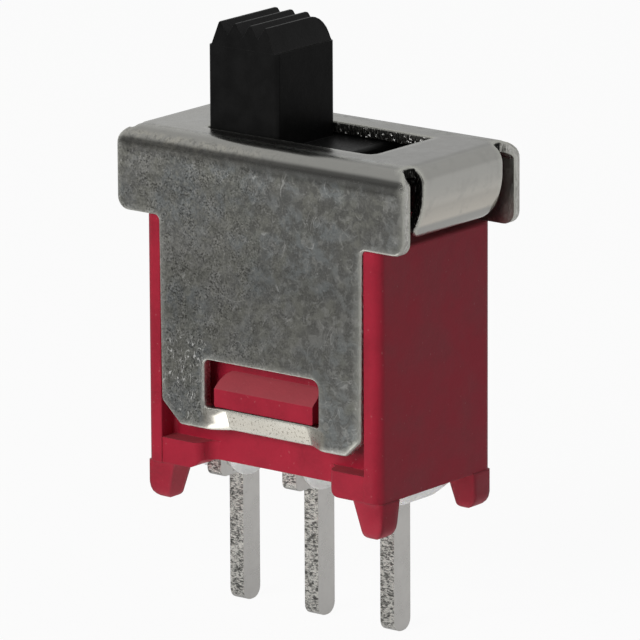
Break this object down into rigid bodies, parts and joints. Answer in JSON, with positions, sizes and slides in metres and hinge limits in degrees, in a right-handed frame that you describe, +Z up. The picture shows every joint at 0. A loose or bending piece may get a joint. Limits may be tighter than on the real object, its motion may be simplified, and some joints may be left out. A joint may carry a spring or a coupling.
{
  "type": "slide switch",
  "caption": "Subminiature upright slide switch for a circuit board: moulded case with stand-off feet, folded metal cover snapped over side wedges, ridged sliding knob, flat solder pins.",
  "frame": {"origin": "centre of the middle (common) pin at the board's surface, which is the plane of the feet's undersides", "axes": "+X is the way the knob slides from its rest stop, +Y is away from the front tongue, +Z is up from the board along the pins"},
  "size_m": [0.0096, 0.005, 0.016],
  "materials": {
    "case_plastic": "satin moulded thermoset, deep red",
    "cover_metal": "tin-plated sheet with a faint spangle and scratches, plain cut edges",
    "slider_plastic": "satin moulded nylon, black",
    "brass": "turned",
    "spring_steel": "drawn wire",
    "contact_metal": "silver-plated copper alloy",
    "terminal_metal": "plated copper alloy, smooth sides and sheared edges",
    "epoxy": "cast, slightly cloudy"
  },
  "bodies": {
    "housing": {"case": "case_plastic", "cover": "cover_metal", "common_terminal": "terminal_metal", "left_terminal": "terminal_metal", "right_terminal": "terminal_metal", "left_fixed_contact": "contact_metal", "right_fixed_contact": "contact_metal", "epoxy_seal": "epoxy"},
    "slider_body": {"slider": "slider_plastic"},
    "plunger_body": {"plunger": "brass", "plunger_spring": "spring_steel"},
    "rocker_body": {"rocker": "contact_metal", "left_rocker_contact": "contact_metal", "right_rocker_contact": "contact_metal"}
  },
  "joints": [
    {"name": "slider_slide", "type": "slide", "parent": "housing", "child": "slider_body", "axis": [1, 0, 0], "range_m": [0, 0.00306]},
    {"name": "plunger_slide", "type": "slide", "parent": "slider_body", "child": "plunger_body", "axis": [0, 0, 1], "range_m": [0, 0.0002], "stiffness_N_per_m": 150, "springref_m": -0.001, "deforming": ["plunger_spring"]},
    {"name": "rocker_tilt", "type": "hinge", "parent": "housing", "child": "rocker_body", "pos_m": [0, 0, 0.00398], "axis": [0, 1, 0], "range_deg": [0, 12]}
  ],
  "couplings": [
    {"joint": "rocker_tilt", "follows": "slider_slide", "rad_per_m": 68.44}
  ]
}
